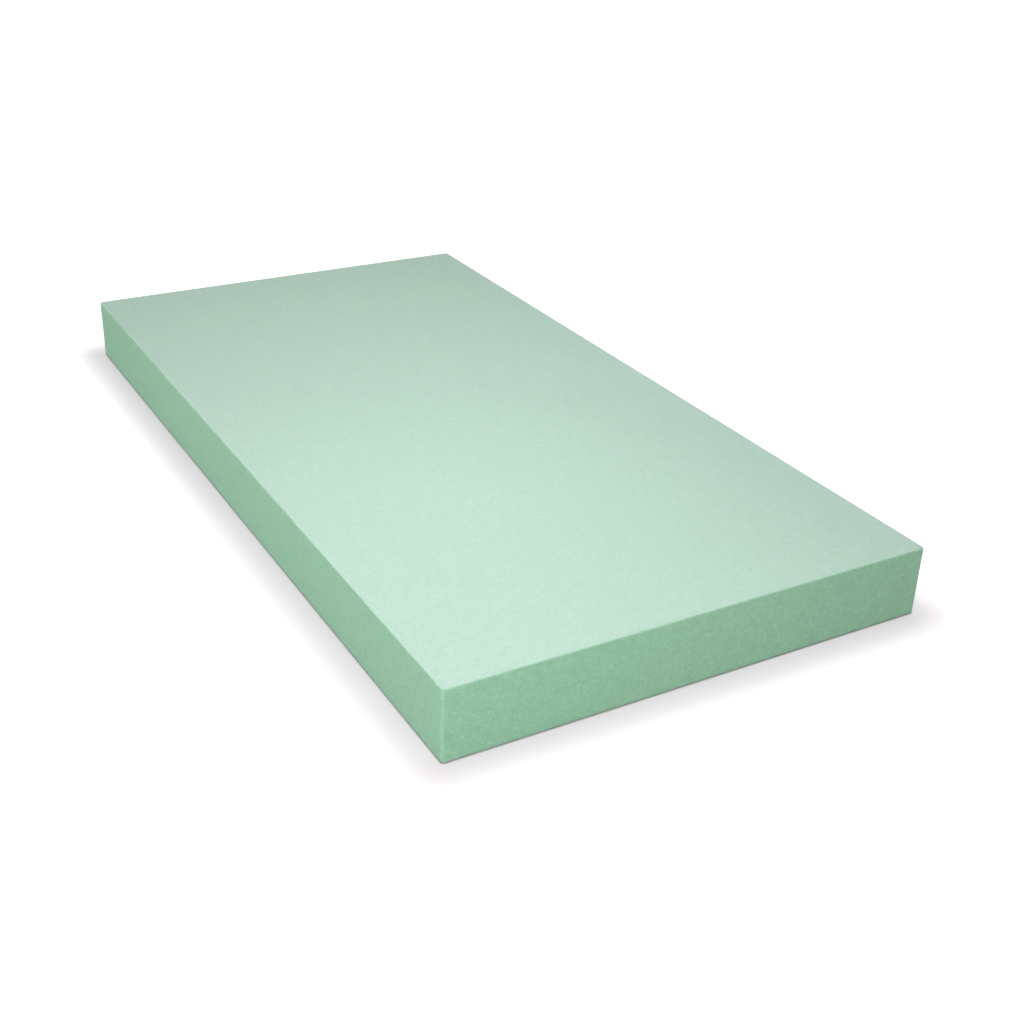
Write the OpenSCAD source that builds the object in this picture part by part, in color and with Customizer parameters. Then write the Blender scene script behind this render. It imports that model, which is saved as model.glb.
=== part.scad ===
// Foam block: a flat rectangular slab, sawn in one piece out of a larger bun of open-cell foam.
// X runs across the width, Y along the length and Z up through the thickness.
// The origin is the centre of the underside, so the slab stands on Z = 0.

/* [Slab] */
// Width, along the short end
slab_w = 700; // [120:5:1400]
// Length, along the long side
slab_l = 1350; // [120:5:2400]
// Thickness, from the underside to the top face
slab_h = 100; // [20:1:300]

/* [Edges] */
// Radius of the four upright corners, seen from above
corner_r = 5; // [4.5:0.5:40]
// Radius of the rims round the top face and the underside
rim_r = 3; // [0.5:0.25:4]

/* [Hidden] */

// Facets on a full turn of a corner or a rim
$fn = 64;

// Length of each straight side, between the rounds of its two corners
straight_w = slab_w - 2 * corner_r;
straight_l = slab_l - 2 * corner_r;

// Where the upright corners turn, out from the middle
corner_x = straight_w / 2;
corner_y = straight_l / 2;

// Upright cut through the slab, span across: flat faces with the four rims rounded
module slab_section(span) {
    translate([-span / 2, rim_r]) square([span, slab_h - 2 * rim_r]);
    translate([rim_r - span / 2, 0]) square([span - 2 * rim_r, slab_h]);
    for (x = [rim_r - span / 2, span / 2 - rim_r], y = [rim_r, slab_h - rim_r])
        translate([x, y]) circle(rim_r);
}

// One upright corner: half of the section turned about its own middle, so that the rims
// sweep round the corner without a mitre
module corner_post() {
    rotate_extrude()
        intersection() {
            slab_section(2 * corner_r);
            square([corner_r, slab_h]);
        }
}

// The section drawn out along a straight side, turned about Z to face it
module straight_run(span, run, turn) {
    rotate([90, 0, turn]) linear_extrude(run, center = true) slab_section(span);
}

module foam_block() {
    color("#B9DBC8") union() {
        straight_run(slab_w, straight_l, 0);
        straight_run(slab_l, straight_w, 90);
        for (x = [-corner_x, corner_x], y = [-corner_y, corner_y])
            translate([x, y, 0]) corner_post();
    }
}

foam_block();
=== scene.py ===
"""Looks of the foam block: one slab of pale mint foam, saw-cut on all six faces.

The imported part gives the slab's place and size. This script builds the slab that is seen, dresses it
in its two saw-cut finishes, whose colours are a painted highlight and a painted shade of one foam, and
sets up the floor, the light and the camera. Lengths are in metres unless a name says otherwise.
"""

import logging
import math
from dataclasses import dataclass
from enum import Enum
from typing import ClassVar

import bpy
from mathutils import Matrix, Vector


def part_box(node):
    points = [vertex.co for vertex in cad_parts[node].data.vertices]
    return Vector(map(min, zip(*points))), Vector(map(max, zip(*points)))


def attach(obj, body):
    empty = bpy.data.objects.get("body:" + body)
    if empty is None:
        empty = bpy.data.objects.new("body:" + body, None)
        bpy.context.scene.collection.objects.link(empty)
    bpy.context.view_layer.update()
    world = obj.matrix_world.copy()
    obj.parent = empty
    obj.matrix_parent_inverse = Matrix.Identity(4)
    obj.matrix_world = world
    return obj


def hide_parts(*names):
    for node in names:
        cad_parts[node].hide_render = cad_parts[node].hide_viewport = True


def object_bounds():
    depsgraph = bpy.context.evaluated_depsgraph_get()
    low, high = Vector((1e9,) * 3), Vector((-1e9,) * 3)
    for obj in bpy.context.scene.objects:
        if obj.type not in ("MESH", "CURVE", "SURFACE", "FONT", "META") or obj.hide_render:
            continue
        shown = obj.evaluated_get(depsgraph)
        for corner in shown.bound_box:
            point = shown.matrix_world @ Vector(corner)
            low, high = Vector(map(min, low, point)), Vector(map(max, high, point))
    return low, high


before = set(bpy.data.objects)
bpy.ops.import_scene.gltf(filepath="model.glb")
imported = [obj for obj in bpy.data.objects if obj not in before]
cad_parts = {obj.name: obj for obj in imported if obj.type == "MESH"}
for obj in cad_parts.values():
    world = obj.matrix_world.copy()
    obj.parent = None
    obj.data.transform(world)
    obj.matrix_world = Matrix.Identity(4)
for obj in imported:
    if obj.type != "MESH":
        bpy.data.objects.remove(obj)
CAD_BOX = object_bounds()

LOG = logging.getLogger("foam_block")
MM = 0.001
WHITE = (1.0, 1.0, 1.0, 1.0)

# Places of a colour Mix node's sockets, which share their names with those of its other types
MIX_FACTOR, MIX_A, MIX_B, MIX_RESULT = 0, 6, 7, 2


class Cut(Enum):
    """How a face of the slab was cut, which also picks its colour: a painted highlight on the split
    faces, a painted shade on the sawn ones.
    """

    SPLIT_PAINTED_HIGHLIGHT = "split"
    SAWN_PAINTED_SHADE = "sawn"


def linear_colour(sheet_colour: str) -> tuple[float, float, float, float]:
    """Turns an sRGB hex colour into the linear one that Blender's sockets take.

    Args:
        sheet_colour: the colour as "#RRGGBB".

    Returns:
        Linear red, green, blue and an alpha of 1.
    """

    def channel(at: int) -> float:
        """One channel, read from its two hex digits."""
        value = int(sheet_colour[at:at + 2], 16) / 255
        return value / 12.92 if value <= 0.04045 else ((value + 0.055) / 1.055) ** 2.4

    return channel(1), channel(3), channel(5), 1.0


def add_node(
    tree: bpy.types.NodeTree,
    kind: str,
    inputs: dict[str | int, object] | None = None,
    **settings: str,
) -> bpy.types.Node:
    """Adds one node with its settings, and feeds its inputs.

    Args:
        tree: the node tree that the node joins.
        kind: Blender's name of the node's type.
        inputs: by socket name or number, a socket to link from or a value to set.
        settings: the node's own properties, such as operation="ADD".

    Returns:
        The new node.
    """
    made = tree.nodes.new(kind)
    for name, value in settings.items():
        setattr(made, name, value)
    for socket, value in (inputs or {}).items():
        if isinstance(value, bpy.types.NodeSocket):
            tree.links.new(value, made.inputs[socket])
        else:
            made.inputs[socket].default_value = value
    return made


@dataclass(frozen=True)
class FoamFinish:
    """Open-cell polyurethane foam as a saw leaves it: matt, faintly speckled, with no gloss of its own.

    Attributes:
        name: the material's name.
        colour: the foam between the cells, sRGB hex; paler on the split faces as painted highlight, a
            fuller green on the sawn ones as painted shade.
        hollow_shade_and_patch_colour: painted shade for the inside of the cut cells, which the darker
            patches of cells also take, sRGB hex.
        cell_mm: distance from cell to cell, as drawn.
        clump_mm: distance from one lighter patch of cells to the next.
        cell_depth_mm: depth of the cut cells.
        nap: how much of the cut cell walls stand up and catch light along the surface.
        drag: how far the saw drags the pattern out along the blade, for X, Y and Z.
    """

    name: str
    colour: str
    hollow_shade_and_patch_colour: str
    cell_mm: float
    clump_mm: float
    cell_depth_mm: float
    nap: float
    drag: tuple[float, float, float]

    # Out from a cell's middle, in shares of a cell: where its hollow ends, and where its wall is full
    WALL_SHARES: ClassVar[tuple[float, float]] = (0.1, 0.8)
    # The part of the clumps' noise that goes from the darkest patch to the palest
    CLUMP_SHARES: ClassVar[tuple[float, float]] = (0.25, 0.75)
    CLUMP_DETAIL: ClassVar[float] = 3.0
    CLUMP_ROUGHNESS: ClassVar[float] = 0.6
    # Polyurethane's own index. Its thin, torn walls scatter nearly all that they would reflect
    IOR: ClassVar[float] = 1.5
    ROUGHNESS: ClassVar[float] = 0.9
    SPECULAR: ClassVar[float] = 0.1
    NAP_ROUGHNESS: ClassVar[float] = 0.6

    def material(self) -> bpy.types.Material:
        """Builds the finish as a material.

        Returns:
            The material, with every pattern on Object coordinates.
        """
        made = bpy.data.materials.new(self.name)
        made.use_nodes = True
        tree = made.node_tree
        tree.nodes.clear()
        place = add_node(tree, "ShaderNodeTexCoord").outputs["Object"]
        dragged = add_node(tree, "ShaderNodeMapping", {
            "Vector": place,
            "Scale": tuple(1 / share for share in self.drag),
        }).outputs["Vector"]
        cells = add_node(tree, "ShaderNodeTexVoronoi", {
            "Vector": dragged,
            "Scale": 1 / (self.cell_mm * MM),
        }, feature="F1").outputs["Distance"]
        wall = add_node(tree, "ShaderNodeMapRange", {
            "Value": cells,
            "From Min": self.WALL_SHARES[0],
            "From Max": self.WALL_SHARES[1],
        }, interpolation_type="SMOOTHSTEP").outputs["Result"]
        clouds = add_node(tree, "ShaderNodeTexNoise", {
            "Vector": place,
            "Scale": 1 / (self.clump_mm * MM),
            "Detail": self.CLUMP_DETAIL,
            "Roughness": self.CLUMP_ROUGHNESS,
        }).outputs["Fac"]
        clumps = add_node(tree, "ShaderNodeMapRange", {
            "Value": clouds,
            "From Min": self.CLUMP_SHARES[0],
            "From Max": self.CLUMP_SHARES[1],
        }).outputs["Result"]
        # Painted shade: the hollows of the cells take the darker colour, and so do the darker patches of
        # cells, which vary at random
        hollow_shade_and_patch_factor = add_node(tree, "ShaderNodeMath", {0: wall, 1: clumps}, operation="MULTIPLY").outputs[0]
        colour = add_node(tree, "ShaderNodeMix", {
            MIX_FACTOR: hollow_shade_and_patch_factor,
            MIX_A: linear_colour(self.hollow_shade_and_patch_colour),
            MIX_B: linear_colour(self.colour),
        }, data_type="RGBA").outputs[MIX_RESULT]
        relief = add_node(tree, "ShaderNodeBump", {
            "Strength": 1.0,
            "Distance": self.cell_depth_mm * MM,
            "Height": wall,
        }).outputs["Normal"]
        shader = add_node(tree, "ShaderNodeBsdfPrincipled", {
            "Base Color": colour,
            "Roughness": self.ROUGHNESS,
            "IOR": self.IOR,
            "Specular IOR Level": self.SPECULAR,
            "Sheen Weight": self.nap,
            "Sheen Roughness": self.NAP_ROUGHNESS,
            "Normal": relief,
        }).outputs["BSDF"]
        add_node(tree, "ShaderNodeOutputMaterial", {"Surface": shader})
        return made


@dataclass
class FoamBlock:
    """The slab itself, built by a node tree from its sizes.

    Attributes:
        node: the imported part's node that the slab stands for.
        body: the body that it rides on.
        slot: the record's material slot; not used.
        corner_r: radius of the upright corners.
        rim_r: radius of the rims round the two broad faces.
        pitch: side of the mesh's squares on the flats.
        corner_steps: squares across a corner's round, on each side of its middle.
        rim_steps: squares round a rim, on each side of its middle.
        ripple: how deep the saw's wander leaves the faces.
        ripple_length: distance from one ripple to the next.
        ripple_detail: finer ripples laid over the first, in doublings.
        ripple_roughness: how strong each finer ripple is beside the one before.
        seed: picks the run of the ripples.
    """

    node: str = "foam_block"
    body: str = "root"
    slot: str = "foam"
    corner_r: float = 5 * MM
    rim_r: float = 3 * MM
    pitch: float = 5.5 * MM
    corner_steps: int = 6
    rim_steps: int = 3
    ripple: float = 0.3 * MM
    ripple_length: float = 90 * MM
    ripple_detail: float = 2.0
    ripple_roughness: float = 0.45
    seed: float = 4.0

    # The real cells are about 1 mm across, finer than a pixel of the photograph, which is 1.4 mm here.
    # They are drawn about twice as coarse, so that they show as the faint grain seen there
    FINISHES: ClassVar[dict[Cut, FoamFinish]] = {
        # Split off the bun by a band knife along the slab: a fine, even, dead matt face. Its paler,
        # whiter colour is a painted highlight, a lit copy of the one foam colour
        Cut.SPLIT_PAINTED_HIGHLIGHT: FoamFinish(
            name="polyurethane_foam_split_painted_highlight",
            colour="#B2CCBE",
            hollow_shade_and_patch_colour="#A7C1B3",
            cell_mm=2.2,
            clump_mm=9.0,
            cell_depth_mm=0.25,
            nap=0.0,
            drag=(1.3, 1.0, 1.0),
        ),
        # Sawn to size across the slab: coarser, with deeper cells, and torn cell walls that stand up and
        # give it a breath of white where it is seen at a slant. Its fuller green is painted shade, a
        # shaded copy of the one foam colour
        Cut.SAWN_PAINTED_SHADE: FoamFinish(
            name="polyurethane_foam_sawn_painted_shade",
            colour="#9ECFAD",
            hollow_shade_and_patch_colour="#8BBC9B",
            cell_mm=1.8,
            clump_mm=7.0,
            cell_depth_mm=0.35,
            nap=0.15,
            drag=(1.0, 1.0, 1.5),
        ),
    }

    # A face that leans less than this from level is a broad one
    BROAD_LEAN: ClassVar[float] = math.radians(45)
    # Halfway round a rim, which is a quarter turn in all
    RIM_MIDDLE: ClassVar[float] = math.radians(45)
    # A row of squares has one point more than it has squares, and the half keeps the cut to a whole
    # number from losing one
    POINTS_OVER: ClassVar[tuple[float, float, float]] = (1.5, 1.5, 1.5)

    def sizes(self) -> Vector:
        """Width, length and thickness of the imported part's node."""
        low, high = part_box(self.node)
        return high - low

    def shape_tree(self) -> bpy.types.NodeTree:
        """Builds the node tree that makes the slab.

        A cube of even squares is bent into the slab. Its middle squares become the flats. The outer
        ones become, in plan, the round of the upright corners, and then the round of the rim.

        Returns:
            The node tree, whose inputs are the slab's sizes and finishes.
        """
        tree = bpy.data.node_groups.new("saw_cut_slab", "GeometryNodeTree")
        for name, kind in (
            ("Width", "NodeSocketFloat"),
            ("Length", "NodeSocketFloat"),
            ("Thickness", "NodeSocketFloat"),
            ("Corner Radius", "NodeSocketFloat"),
            ("Rim Radius", "NodeSocketFloat"),
            ("Pitch", "NodeSocketFloat"),
            ("Corner Steps", "NodeSocketInt"),
            ("Rim Steps", "NodeSocketInt"),
            ("Ripple", "NodeSocketFloat"),
            ("Ripple Length", "NodeSocketFloat"),
            ("Seed", "NodeSocketFloat"),
            ("Split Face Painted Highlight", "NodeSocketMaterial"),
            ("Sawn Face Painted Shade", "NodeSocketMaterial"),
        ):
            tree.interface.new_socket(name, in_out="INPUT", socket_type=kind)
        tree.interface.new_socket("Slab", in_out="OUTPUT", socket_type="NodeSocketGeometry")
        given = add_node(tree, "NodeGroupInput").outputs

        size = add_node(tree, "ShaderNodeCombineXYZ", {
            0: given["Width"], 1: given["Length"], 2: given["Thickness"],
        }).outputs[0]
        edge = add_node(tree, "ShaderNodeCombineXYZ", {
            0: given["Corner Radius"], 1: given["Corner Radius"], 2: given["Rim Radius"],
        }).outputs[0]
        steps = add_node(tree, "ShaderNodeCombineXYZ", {
            0: given["Corner Steps"], 1: given["Corner Steps"], 2: given["Rim Steps"],
        }).outputs[0]
        pitches = add_node(tree, "ShaderNodeCombineXYZ", {
            0: given["Pitch"], 1: given["Pitch"], 2: given["Pitch"],
        }).outputs[0]

        # What both edges leave of each side is its flat, and whole squares go into that
        flat = add_node(tree, "ShaderNodeVectorMath", {
            0: edge, 1: (-2.0, -2.0, -2.0), 2: size,
        }, operation="MULTIPLY_ADD").outputs[0]
        squares = add_node(tree, "ShaderNodeVectorMath", {
            0: flat, 1: pitches,
        }, operation="DIVIDE").outputs[0]
        squares = add_node(tree, "ShaderNodeVectorMath", {0: squares}, operation="CEIL").outputs[0]
        count = add_node(tree, "ShaderNodeVectorMath", {
            0: steps, 1: (2.0, 2.0, 2.0), 2: squares,
        }, operation="MULTIPLY_ADD").outputs[0]
        points = add_node(tree, "ShaderNodeVectorMath", {
            0: count, 1: self.POINTS_OVER,
        }, operation="ADD").outputs[0]
        points = add_node(tree, "ShaderNodeSeparateXYZ", {0: points}).outputs
        cube = add_node(tree, "GeometryNodeMeshCube", {
            "Size": count,
            "Vertices X": points["X"], "Vertices Y": points["Y"], "Vertices Z": points["Z"],
        }).outputs["Mesh"]

        # Where each point of the cube is, counted in squares: how far along a flat, and how far
        # past its end, from 0 at the flat's end to 1 at the cube's edge
        place = add_node(tree, "GeometryNodeInputPosition").outputs[0]
        out = add_node(tree, "ShaderNodeVectorMath", {0: place}, operation="ABSOLUTE").outputs[0]
        half = add_node(tree, "ShaderNodeVectorMath", {
            0: squares, "Scale": 0.5,
        }, operation="SCALE").outputs[0]
        along = add_node(tree, "ShaderNodeVectorMath", {
            0: out, 1: half,
        }, operation="MINIMUM").outputs[0]
        square = add_node(tree, "ShaderNodeVectorMath", {
            0: flat, 1: squares,
        }, operation="DIVIDE").outputs[0]
        core = add_node(tree, "ShaderNodeVectorMath", {
            0: along, 1: square,
        }, operation="MULTIPLY").outputs[0]
        past = add_node(tree, "ShaderNodeVectorMath", {
            0: out, 1: along,
        }, operation="SUBTRACT").outputs[0]
        past = add_node(tree, "ShaderNodeVectorMath", {0: past, 1: steps}, operation="DIVIDE").outputs[0]
        past = add_node(tree, "ShaderNodeSeparateXYZ", {0: past}).outputs
        heading = add_node(tree, "ShaderNodeCombineXYZ", {0: past["X"], 1: past["Y"]}).outputs[0]
        heading = add_node(tree, "ShaderNodeVectorMath", {0: heading}, operation="NORMALIZE").outputs[0]

        # In plan, the first half of the outer squares is the corner's flat and the second the rim
        most = add_node(tree, "ShaderNodeMath", {
            0: past["X"], 1: past["Y"],
        }, operation="MAXIMUM").outputs[0]
        inner = add_node(tree, "ShaderNodeMapRange", {
            "Value": most, "From Min": 0.0, "From Max": 0.5,
        }).outputs["Result"]
        outer = add_node(tree, "ShaderNodeMapRange", {
            "Value": most, "From Min": 0.5, "From Max": 1.0,
        }).outputs["Result"]
        turned = add_node(tree, "ShaderNodeMath", {
            0: outer, 1: past["Z"],
        }, operation="SUBTRACT").outputs[0]
        angle = add_node(tree, "ShaderNodeMath", {
            0: turned, 1: self.RIM_MIDDLE, 2: self.RIM_MIDDLE,
        }, operation="MULTIPLY_ADD").outputs[0]
        sine = add_node(tree, "ShaderNodeMath", {0: angle}, operation="SINE").outputs[0]
        cosine = add_node(tree, "ShaderNodeMath", {0: angle}, operation="COSINE").outputs[0]
        ledge = add_node(tree, "ShaderNodeMath", {
            0: given["Corner Radius"], 1: given["Rim Radius"],
        }, operation="SUBTRACT").outputs[0]
        ledge = add_node(tree, "ShaderNodeMath", {0: ledge, 1: inner}, operation="MULTIPLY").outputs[0]
        reach = add_node(tree, "ShaderNodeMath", {
            0: given["Rim Radius"], 1: sine, 2: ledge,
        }, operation="MULTIPLY_ADD").outputs[0]
        rise = add_node(tree, "ShaderNodeMath", {
            0: given["Rim Radius"], 1: cosine,
        }, operation="MULTIPLY").outputs[0]
        lifted = add_node(tree, "ShaderNodeCombineXYZ", {2: rise}).outputs[0]
        plan = add_node(tree, "ShaderNodeVectorMath", {
            0: heading, "Scale": reach,
        }, operation="SCALE").outputs[0]
        rounding = add_node(tree, "ShaderNodeVectorMath", {
            0: lifted, 1: plan,
        }, operation="ADD").outputs[0]
        corner = add_node(tree, "ShaderNodeVectorMath", {
            0: core, 1: rounding,
        }, operation="ADD").outputs[0]

        # Each point goes back to its own side of the slab, whose middle is half its thickness up
        side = add_node(tree, "ShaderNodeVectorMath", {0: place}, operation="SIGN").outputs[0]
        middle = add_node(tree, "ShaderNodeVectorMath", {
            0: size, 1: (0.0, 0.0, 0.5),
        }, operation="MULTIPLY").outputs[0]
        bent = add_node(tree, "ShaderNodeVectorMath", {
            0: corner, 1: side, 2: middle,
        }, operation="MULTIPLY_ADD").outputs[0]
        slab = add_node(tree, "GeometryNodeSetPosition", {
            "Geometry": cube, "Position": bent,
        }).outputs[0]

        # The saw wanders a little, so no face is a perfect plane. The foam is only ever taken away
        where = add_node(tree, "GeometryNodeInputPosition").outputs[0]
        normal = add_node(tree, "GeometryNodeInputNormal").outputs["Normal"]
        times = add_node(tree, "ShaderNodeMath", {
            0: 1.0, 1: given["Ripple Length"],
        }, operation="DIVIDE").outputs[0]
        wander = add_node(tree, "ShaderNodeTexNoise", {
            "Vector": where,
            "W": given["Seed"],
            "Scale": times,
            "Detail": self.ripple_detail,
            "Roughness": self.ripple_roughness,
        }, noise_dimensions="4D").outputs["Fac"]
        depth = add_node(tree, "ShaderNodeMath", {
            0: wander, 1: given["Ripple"],
        }, operation="MULTIPLY").outputs[0]
        inwards = add_node(tree, "ShaderNodeMath", {0: depth, 1: -1.0}, operation="MULTIPLY").outputs[0]
        cut = add_node(tree, "ShaderNodeVectorMath", {
            0: normal, "Scale": inwards,
        }, operation="SCALE").outputs[0]
        slab = add_node(tree, "GeometryNodeSetPosition", {"Geometry": slab, "Offset": cut}).outputs[0]
        slab = add_node(tree, "GeometryNodeSetShadeSmooth", {"Geometry": slab}).outputs[0]

        # The broad faces are split and the narrow ones sawn, and the rims halve between them.
        # So the broad faces take the painted highlight and the narrow ones the painted shade
        facing = add_node(tree, "GeometryNodeInputNormal").outputs["True Normal"]
        up = add_node(tree, "ShaderNodeSeparateXYZ", {0: facing}).outputs["Z"]
        level = add_node(tree, "ShaderNodeMath", {0: up}, operation="ABSOLUTE").outputs[0]
        broad = add_node(tree, "ShaderNodeMath", {
            0: level, 1: math.cos(self.BROAD_LEAN),
        }, operation="GREATER_THAN").outputs[0]
        slab = add_node(tree, "GeometryNodeRealizeInstances", {"Geometry": slab}).outputs[0]
        slab = add_node(tree, "GeometryNodeSetMaterial", {
            "Geometry": slab, "Material": given["Sawn Face Painted Shade"],
        }).outputs[0]
        slab = add_node(tree, "GeometryNodeSetMaterial", {
            "Geometry": slab, "Selection": broad, "Material": given["Split Face Painted Highlight"],
        }).outputs[0]
        add_node(tree, "NodeGroupOutput", {0: slab})
        return tree

    def build(self) -> bpy.types.Object:
        """Builds and dresses the slab, hangs it on its body and hides the imported part that it stands
        for.

        Returns:
            The finished piece, a plain mesh in its place.
        """
        width, length, thickness = self.sizes()
        tree = self.shape_tree()
        finishes = {cut: finish.material() for cut, finish in self.FINISHES.items()}
        maker = bpy.data.objects.new("slab_maker", bpy.data.meshes.new("slab_maker"))
        bpy.context.scene.collection.objects.link(maker)
        shaped = maker.modifiers.new("slab", "NODES")
        shaped.node_group = tree
        inputs = (item for item in tree.interface.items_tree if item.in_out == "INPUT")
        socket = {item.name: item.identifier for item in inputs}
        for name, value in {
            "Width": width,
            "Length": length,
            "Thickness": thickness,
            "Corner Radius": self.corner_r,
            "Rim Radius": self.rim_r,
            "Pitch": self.pitch,
            "Corner Steps": self.corner_steps,
            "Rim Steps": self.rim_steps,
            "Ripple": self.ripple,
            "Ripple Length": self.ripple_length,
            "Seed": self.seed,
            "Split Face Painted Highlight": finishes[Cut.SPLIT_PAINTED_HIGHLIGHT],
            "Sawn Face Painted Shade": finishes[Cut.SAWN_PAINTED_SHADE],
        }.items():
            shaped[socket[name]] = value
        ready = bpy.context.evaluated_depsgraph_get()
        mesh = bpy.data.meshes.new_from_object(maker.evaluated_get(ready), depsgraph=ready)
        bpy.data.objects.remove(maker)
        mesh.name = "foam_slab"
        slab = bpy.data.objects.new("foam_slab", mesh)
        bpy.context.scene.collection.objects.link(slab)
        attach(slab, self.body)
        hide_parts(self.node)
        LOG.info("%s: %d faces", slab.name, len(mesh.polygons))
        return slab


@dataclass(frozen=True)
class SoftLamp:
    """One square soft box of plain white light.

    Attributes:
        name: the lamp's name.
        place: its middle.
        target: the point that it faces.
        side: the length of its sides.
        power: what it gives off, in watts.
        spread_deg: how wide it throws its light, where 180 is a bare panel and less is a grid.
    """

    name: str
    place: tuple[float, float, float]
    target: tuple[float, float, float]
    side: float
    power: float
    spread_deg: float = 180.0

    def build(self) -> bpy.types.Object:
        """Makes the lamp and turns it to its target.

        Returns:
            The lamp's object.
        """
        light = bpy.data.lights.new(self.name, "AREA")
        light.shape = "SQUARE"
        light.size = self.side
        light.energy = self.power
        light.spread = math.radians(self.spread_deg)
        lamp = bpy.data.objects.new(self.name, light)
        aim = Vector(self.target) - Vector(self.place)
        lamp.location = self.place
        lamp.rotation_euler = aim.to_track_quat("-Z", "Y").to_euler()
        bpy.context.scene.collection.objects.link(lamp)
        return lamp


@dataclass
class Studio:
    """A white room: a faint even glow, an overhead panel, soft lamps and a pale floor.

    Attributes:
        glow: strength of the even light.
        floor_half: half the side of the floor.
        floor_colour: the floor, sRGB hex.
        floor_lift: white that only the camera sees on the floor next to the slab, where it is weaker
            than further out, as painted shadow.
        corner_r: radius of the slab's upright corners.
        painted_contact_band: where that white starts and is whole, out from the slab's base, so that a
            dark line along the base is painted shadow.
        painted_shadow_sweep: how far out from the slab the floor has turned to pure white; nearer in,
            the weaker white paints shadow over the paper's real one.
        lamps: the soft lamps.
    """

    glow: float = 0.1
    floor_half: float = 30.0
    floor_colour: str = "#ACA5AA"
    floor_lift: float = 0.4
    corner_r: float = FoamBlock.corner_r
    painted_contact_band: tuple[float, float] = (-2 * MM, 2 * MM)
    painted_shadow_sweep: float = 110 * MM

    # The powers bring the three faces that the photograph shows to its own light, fading from the
    # near left corner to the far and right ones. The last two lamps light only the faces it hides.
    # Each row is a lamp's name, place, target, side and power, and its spread where it has a grid
    lamps: tuple[SoftLamp, ...] = (
        SoftLamp("overhead_panel", (0.0, 0.0, 6.0), (0.0, 0.0, 0.0), 6.0, 161.0),
        SoftLamp("centre", (0.2, 0.45, 1.1), (0.2, 0.45, 0.0), 0.8, 3.5),
        SoftLamp("key", (0.9, 0.9, 2.0), (-0.5, -0.6, 0.1), 0.6, 2.2, 50.0),
        SoftLamp("key_near", (0.23, 0.44, 0.99), (-0.35, -0.675, 0.1), 0.3, 0.26, 50.0),
        SoftLamp("fill_left", (-2.4, -0.3, 0.5), (0.0, 0.0, 0.05), 0.9, 12.7),
        SoftLamp("fill_far", (-2.0, 0.8, 0.5), (-0.35, 0.5, 0.05), 0.9, 9.4),
        SoftLamp("fill_corner", (-1.6, -2.4, 0.6), (0.0, 0.0, 0.05), 0.9, 12.5),
        SoftLamp("fill_camera", (-0.6, -1.9, 1.4), (0.0, 0.0, 0.05), 0.8, 24.5),
        SoftLamp("fill_back", (-0.2, 2.0, 0.2), (0.0, 0.675, 0.0), 0.3, 7.0),
        SoftLamp("fill_right", (1.7, 0.1, 0.2), (0.35, 0.0, 0.0), 0.3, 7.0),
    )

    @staticmethod
    def seen(tree: bpy.types.NodeTree) -> bpy.types.NodeSocket:
        """A socket that is 1 for what the camera sees, straight or in a mirror or through glass.

        Args:
            tree: the material's or world's node tree.

        Returns:
            The socket.
        """
        path = add_node(tree, "ShaderNodeLightPath").outputs
        either = add_node(tree, "ShaderNodeMath", {
            0: path["Is Camera Ray"], 1: path["Is Glossy Ray"],
        }, operation="MAXIMUM").outputs[0]
        return add_node(tree, "ShaderNodeMath", {
            0: either, 1: path["Is Transmission Ray"],
        }, operation="MAXIMUM").outputs[0]

    def build_world(self) -> None:
        """Lights the room evenly, behind a white background."""
        world = bpy.data.worlds.new("white_room")
        world.use_nodes = True
        tree = world.node_tree
        tree.nodes.clear()
        strength = add_node(tree, "ShaderNodeMapRange", {
            "Value": self.seen(tree), "To Min": self.glow, "To Max": 1.0,
        }).outputs["Result"]
        shader = add_node(tree, "ShaderNodeBackground", {
            "Color": WHITE, "Strength": strength,
        }).outputs[0]
        add_node(tree, "ShaderNodeOutputWorld", {"Surface": shader})
        bpy.context.scene.world = world

    def distance_out(self, tree: bpy.types.NodeTree) -> bpy.types.NodeSocket:
        """How far out from the slab's rounded footprint a point of the floor lies.

        Args:
            tree: the floor's node tree.

        Returns:
            The socket, which is less than 0 under the slab.
        """
        low, high = CAD_BOX
        turn_x, turn_y = ((high[axis] - low[axis]) / 2 - self.corner_r for axis in (0, 1))
        place = add_node(tree, "ShaderNodeTexCoord").outputs["Object"]
        place = add_node(tree, "ShaderNodeVectorMath", {0: place}, operation="ABSOLUTE").outputs[0]
        past = add_node(tree, "ShaderNodeVectorMath", {
            0: place, 1: (turn_x, turn_y, 0.0),
        }, operation="SUBTRACT").outputs[0]
        past = add_node(tree, "ShaderNodeVectorMath", {0: past}, operation="MAXIMUM").outputs[0]
        far = add_node(tree, "ShaderNodeVectorMath", {0: past}, operation="LENGTH").outputs["Value"]
        return add_node(tree, "ShaderNodeMath", {
            0: far, 1: self.corner_r,
        }, operation="SUBTRACT").outputs[0]

    def floor_material(self) -> bpy.types.Material:
        """Matt paper with a camera-only white glow, which shows white where no shadow falls; the glow is
        weaker near the slab and gone at its base, a painted shadow over the paper's real one.

        Returns:
            The floor's material.
        """
        made = bpy.data.materials.new("paper_with_painted_shadow")
        made.use_nodes = True
        tree = made.node_tree
        tree.nodes.clear()
        # Uncoated and dead matt, so that it takes the slab's shadow and shows no lamp
        paper = add_node(tree, "ShaderNodeBsdfDiffuse", {
            "Color": linear_colour(self.floor_colour),
        }).outputs[0]
        distance = self.distance_out(tree)
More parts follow.
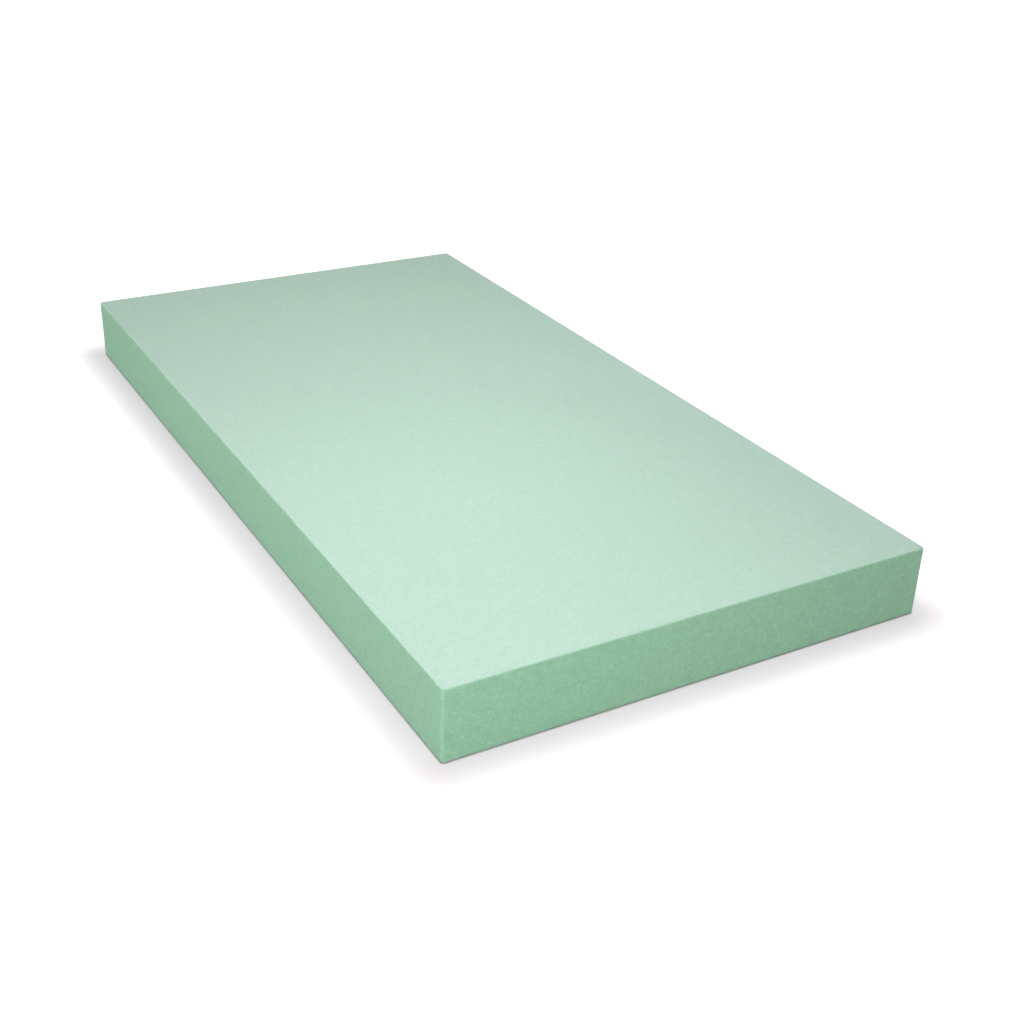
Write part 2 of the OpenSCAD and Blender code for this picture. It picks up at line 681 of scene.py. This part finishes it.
        # Painted shadow: the white is weaker near the slab and gone along its base, which deepens the
        # paper's real shadow and paints a dark line there
        white = add_node(tree, "ShaderNodeMapRange", {
            "Value": distance,
            "From Max": self.painted_shadow_sweep,
            "To Min": self.floor_lift,
        }, interpolation_type="SMOOTHSTEP").outputs["Result"]
        clear = add_node(tree, "ShaderNodeMapRange", {
            "Value": distance,
            "From Min": self.painted_contact_band[0],
            "From Max": self.painted_contact_band[1],
        }, interpolation_type="SMOOTHSTEP").outputs["Result"]
        white = add_node(tree, "ShaderNodeMath", {0: white, 1: clear}, operation="MULTIPLY").outputs[0]
        lift = add_node(tree, "ShaderNodeMath", {
            0: self.seen(tree), 1: white,
        }, operation="MULTIPLY").outputs[0]
        glow = add_node(tree, "ShaderNodeEmission", {"Strength": lift}).outputs[0]
        both = add_node(tree, "ShaderNodeAddShader", {0: paper, 1: glow}).outputs[0]
        add_node(tree, "ShaderNodeOutputMaterial", {"Surface": both})
        return made

    def build_floor(self) -> bpy.types.Object:
        """Lays the floor under the slab.

        Returns:
            The floor's object.
        """
        mesh = bpy.data.meshes.new("floor")
        far = self.floor_half
        corners = [(-far, -far, 0), (far, -far, 0), (far, far, 0), (-far, far, 0)]
        mesh.from_pydata(corners, [], [(0, 1, 2, 3)])
        mesh.materials.append(self.floor_material())
        floor = bpy.data.objects.new("floor", mesh)
        bpy.context.scene.collection.objects.link(floor)
        return floor

    def build(self) -> None:
        """Builds the room, its floor and its lamps."""
        self.build_world()
        self.build_floor()
        LOG.info("floor: %.0f m square", 2 * self.floor_half)
        for lamp in self.lamps:
            lamp.build()
            LOG.info("lamp %s: %.1f W", lamp.name, lamp.power)


@dataclass
class Viewpoint:
    """The camera, where the photograph was taken from.

    Attributes:
        place: the lens, from the middle of the slab's underside.
        heading_deg: turned from +Y towards +X.
        dip_deg: tilted down from level.
        roll_deg: leant to its left.
        lens_mm: focal length on the sensor below.
        sensor_mm: width of the sensor.
    """

    place: tuple[float, float, float] = (-0.9278, -1.7923, 0.9849)
    heading_deg: float = 30.45
    dip_deg: float = 27.93
    roll_deg: float = 1.96
    lens_mm: float = 50.04
    sensor_mm: float = 36.0

    def build(self) -> bpy.types.Object:
        """Sets up the camera and makes it the scene's own.

        Returns:
            The camera's object.
        """
        heading = math.radians(self.heading_deg)
        dip = math.radians(self.dip_deg)
        roll = math.radians(self.roll_deg)
        out = math.cos(dip)
        ahead = Vector((math.sin(heading) * out, math.cos(heading) * out, -math.sin(dip)))
        level = Vector((math.cos(heading), -math.sin(heading), 0.0))
        right = Matrix.Rotation(-roll, 3, ahead) @ level
        up = right.cross(ahead)
        lens = bpy.data.cameras.new("camera")
        lens.sensor_width = self.sensor_mm
        lens.lens = self.lens_mm
        camera = bpy.data.objects.new("camera", lens)
        turned = Matrix((right, up, -ahead)).transposed().to_4x4()
        camera.matrix_world = Matrix.Translation(self.place) @ turned
        bpy.context.scene.collection.objects.link(camera)
        bpy.context.scene.camera = camera
        LOG.info("camera: %.1f mm lens", self.lens_mm)
        return camera


def main() -> None:
    """Builds the scene: the camera, the slab and the studio, in that order."""
    logging.basicConfig(level=logging.INFO, format="%(name)s: %(message)s")
    bpy.context.scene.view_settings.view_transform = "Standard"
    Viewpoint().build()
    FoamBlock().build()
    Studio().build()


if __name__ == "__main__":
    main()
